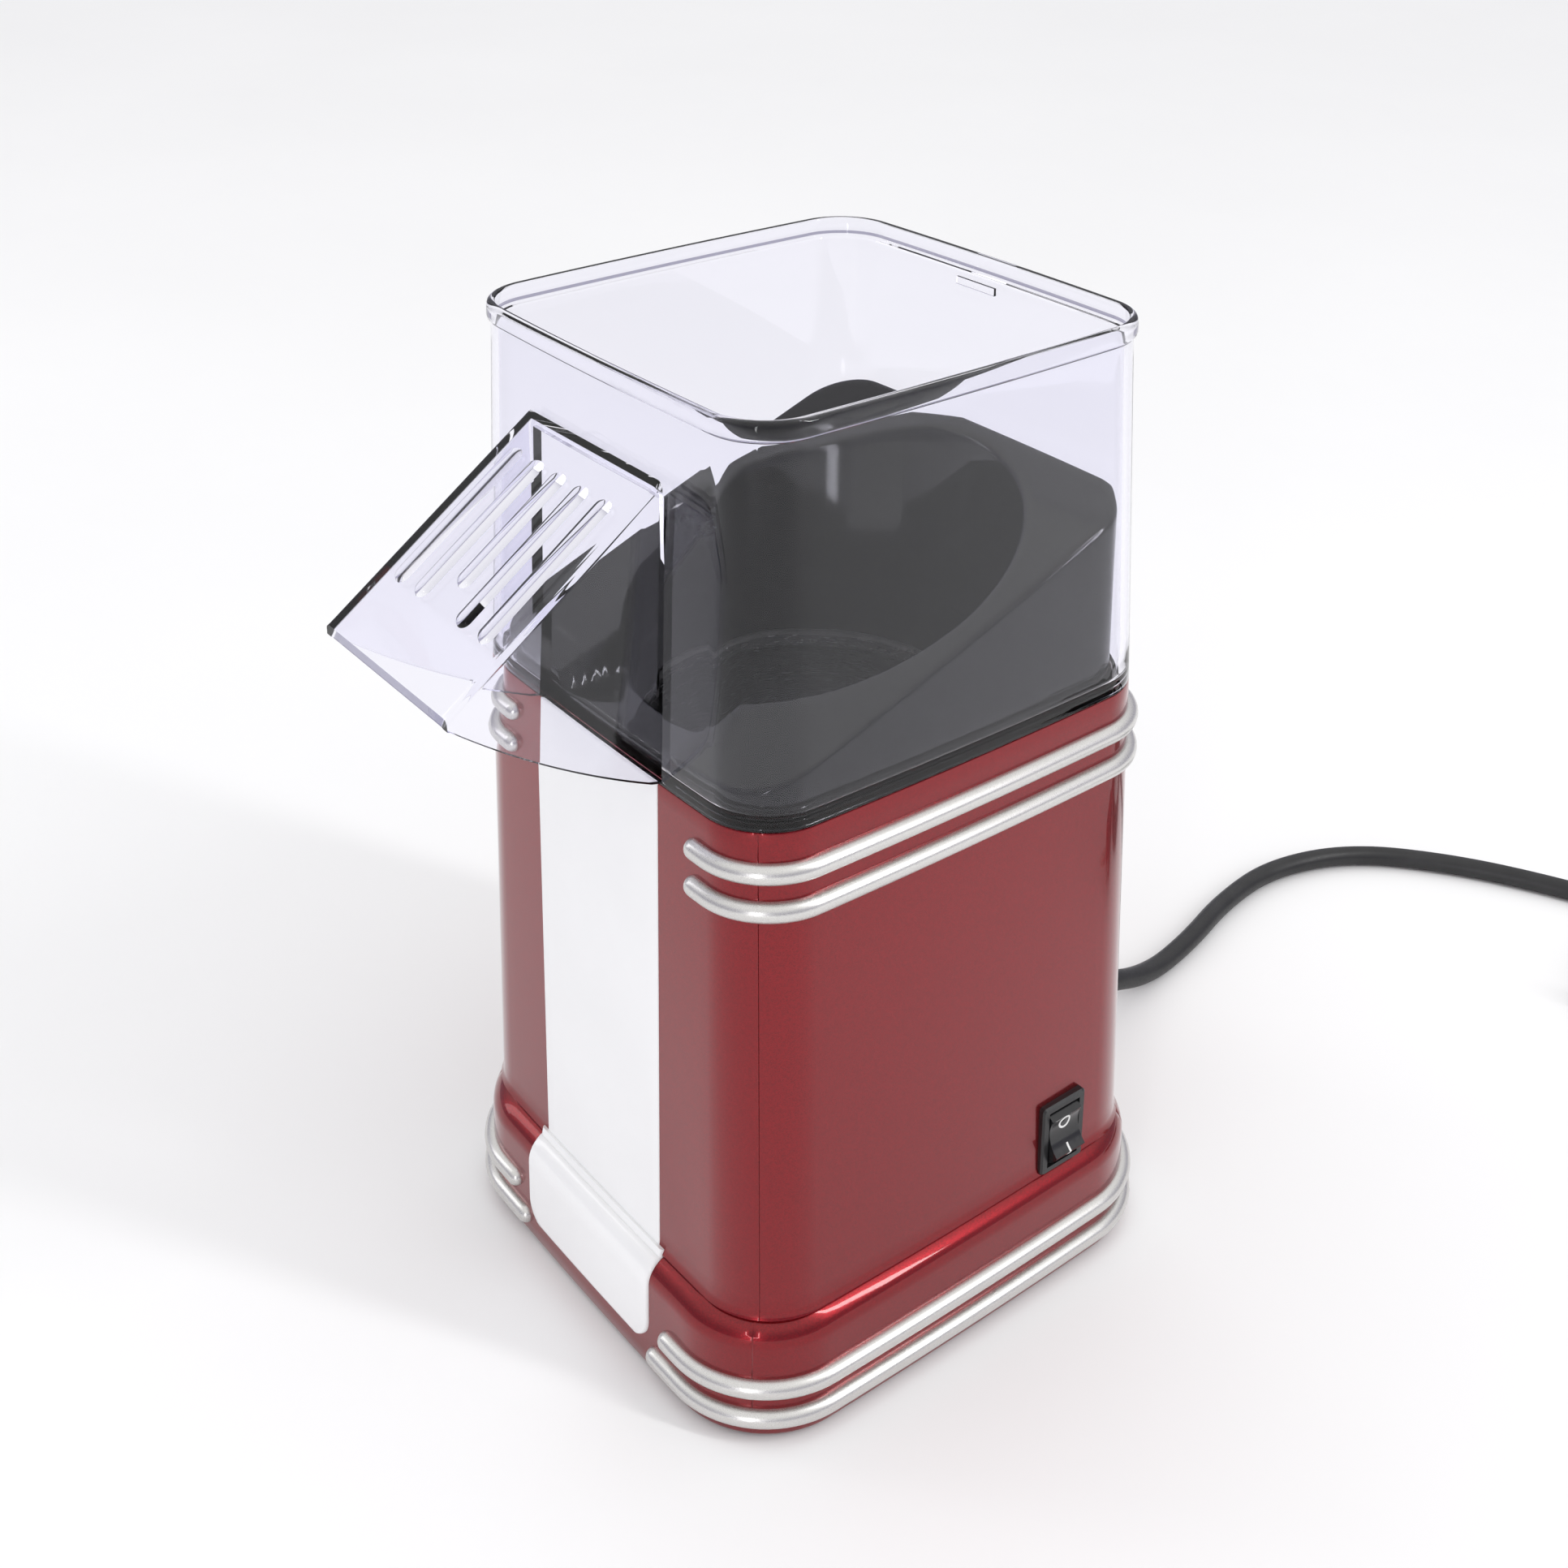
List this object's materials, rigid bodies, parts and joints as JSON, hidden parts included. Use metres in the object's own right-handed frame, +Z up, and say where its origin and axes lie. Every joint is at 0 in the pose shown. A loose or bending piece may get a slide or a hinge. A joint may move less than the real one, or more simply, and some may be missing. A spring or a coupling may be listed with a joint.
{
  "type": "popcorn maker",
  "caption": "Hot-air popcorn maker: glossy tower on a flared base, clear lift-off hood with a sloping spout, black funnel over a popping chamber, rocker switch and mains cord.",
  "frame": {"origin": "on the surface it stands on, below the middle of the appliance's overall length and width, cord left out", "axes": "+Z up, -Y the way the spout points, +X the side with the rocker switch"},
  "size_m": [0.254, 0.436, 0.26],
  "materials": {
    "red_gloss": "high gloss, deep metallic red",
    "silver_paint": "satin silver paint",
    "white_gloss": "glossy white plastic",
    "clear_plastic": "clear moulded polycarbonate",
    "black_gloss": "glossy black plastic",
    "aluminium": "drawn, bright",
    "seal_rubber": "silicone seal",
    "tinned_steel": "tin-plated steel",
    "screw_steel": "zinc-plated",
    "mica": "mica board",
    "heater_wire": "resistance wire",
    "thermostat_steel": "bright can",
    "fuse_metal": "lacquered metal",
    "black_matte": "matt moulded plastic",
    "motor_steel": "zinc-plated can",
    "shaft_steel": "ground steel",
    "impeller_black": "heat-resistant moulding",
    "board_tan": "phenolic board",
    "foot_rubber": "soft rubber",
    "switch_black": "fine texture",
    "rocker_black": "satin gloss",
    "brass": "stamped brass",
    "brass_plated": "nickel-plated brass",
    "wire_white": "silicone-covered lead",
    "cord_black": "soft PVC",
    "tie_black": "wire tie"
  },
  "bodies": {
    "base": {"body_housing": "red_gloss", "trim_bars_upper_right": "silver_paint", "trim_bars_upper_left": "silver_paint", "trim_bars_base_right": "silver_paint", "trim_bars_base_left": "silver_paint", "front_strip": "white_gloss", "front_base_plate": "white_gloss", "funnel": "black_gloss", "chamber": "aluminium", "chamber_seal": "seal_rubber", "duct_sleeve": "tinned_steel", "duct_screws": "screw_steel", "heater_frame": "mica", "heater_coil": "heater_wire", "thermostat": "thermostat_steel", "thermal_fuse": "fuse_metal", "fan_housing": "black_matte", "motor_bracket": "tinned_steel", "bracket_screws": "screw_steel", "motor_can": "motor_steel", "motor_end_cap": "black_matte", "motor_screws": "screw_steel", "rectifier_board": "board_tan", "board_diodes": "black_matte", "base_plate": "black_matte", "base_screws": "screw_steel", "foot_pads": "foot_rubber", "switch_bezel": "switch_black", "switch_terminals": "brass", "wire_to_switch": "wire_white", "wire_to_thermostat": "wire_white", "wire_to_fuse": "wire_white", "cord_inner_end": "cord_black", "cord_clamp": "black_matte", "cord_clamp_screws": "screw_steel", "cord_gland": "cord_black", "power_cord": "cord_black", "cord_coil": "cord_black", "coil_tie": "tie_black", "plug_body": "cord_black", "plug_pins": "brass_plated"},
    "hood": {"hood": "clear_plastic"},
    "rocker": {"rocker": "rocker_black"},
    "rotor": {"motor_shaft": "shaft_steel", "impeller": "impeller_black"}
  },
  "joints": [
    {"name": "hood_lift", "type": "slide", "parent": "base", "child": "hood", "axis": [0, 0, 1], "range_m": [0, 0.06]},
    {"name": "rocker_tilt", "type": "hinge", "parent": "base", "child": "rocker", "pos_m": [0.0616, 0.05364, 0.0448], "axis": [0, 1, 0], "range_deg": [0, 22]},
    {"name": "fan_spin", "type": "hinge", "parent": "base", "child": "rotor", "pos_m": [0, 0.02065, 0.05], "axis": [0, 0, 1], "continuous": true}
  ]
}
